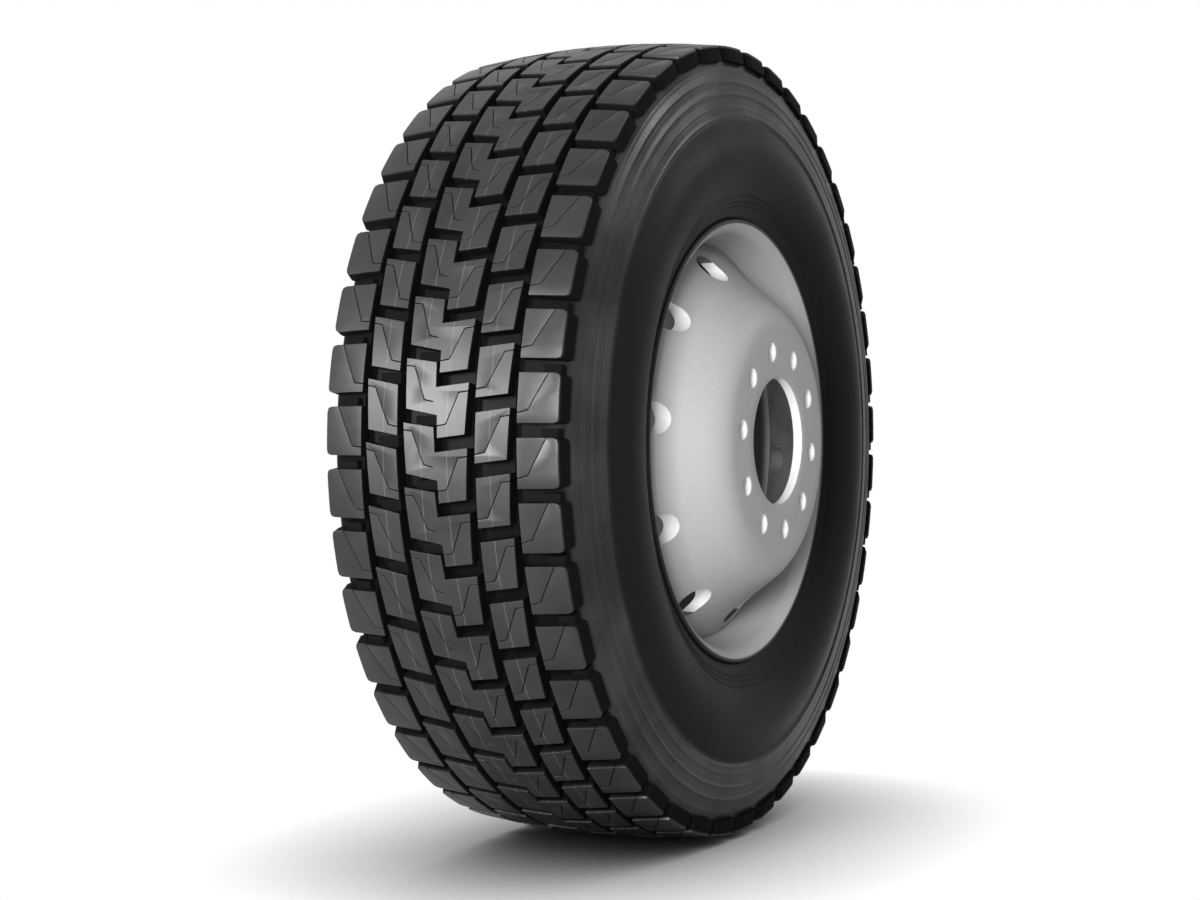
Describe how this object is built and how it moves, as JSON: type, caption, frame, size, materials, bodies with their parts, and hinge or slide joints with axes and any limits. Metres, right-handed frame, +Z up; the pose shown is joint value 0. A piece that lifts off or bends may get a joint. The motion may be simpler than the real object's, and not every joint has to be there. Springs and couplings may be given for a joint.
{
  "type": "truck tyre",
  "caption": "Wide truck tyre with a block tread on a silver steel disc wheel with a domed centre, hand holes and stud holes.",
  "frame": {"origin": "centre of the wheel disc's hub mounting face, on the spin axis", "axes": "+Y along the spin axis towards the vehicle (inboard), so the visible disc faces -Y; +Z up with the wheel upright"},
  "size_m": [1.072, 0.402, 1.072],
  "materials": {
    "tyre": "matte black moulded rubber",
    "wheel_paint": "satin silver paint on steel",
    "valve_brass": "plain turned brass",
    "valve_plastic": "black moulded plastic"
  },
  "bodies": {
    "root": {"tyre": "tyre", "rim": "wheel_paint", "wheel_disc": "wheel_paint", "valve_stem": "valve_brass", "valve_nut": "valve_brass", "valve_cap": "valve_plastic"}
  },
  "joints": []
}
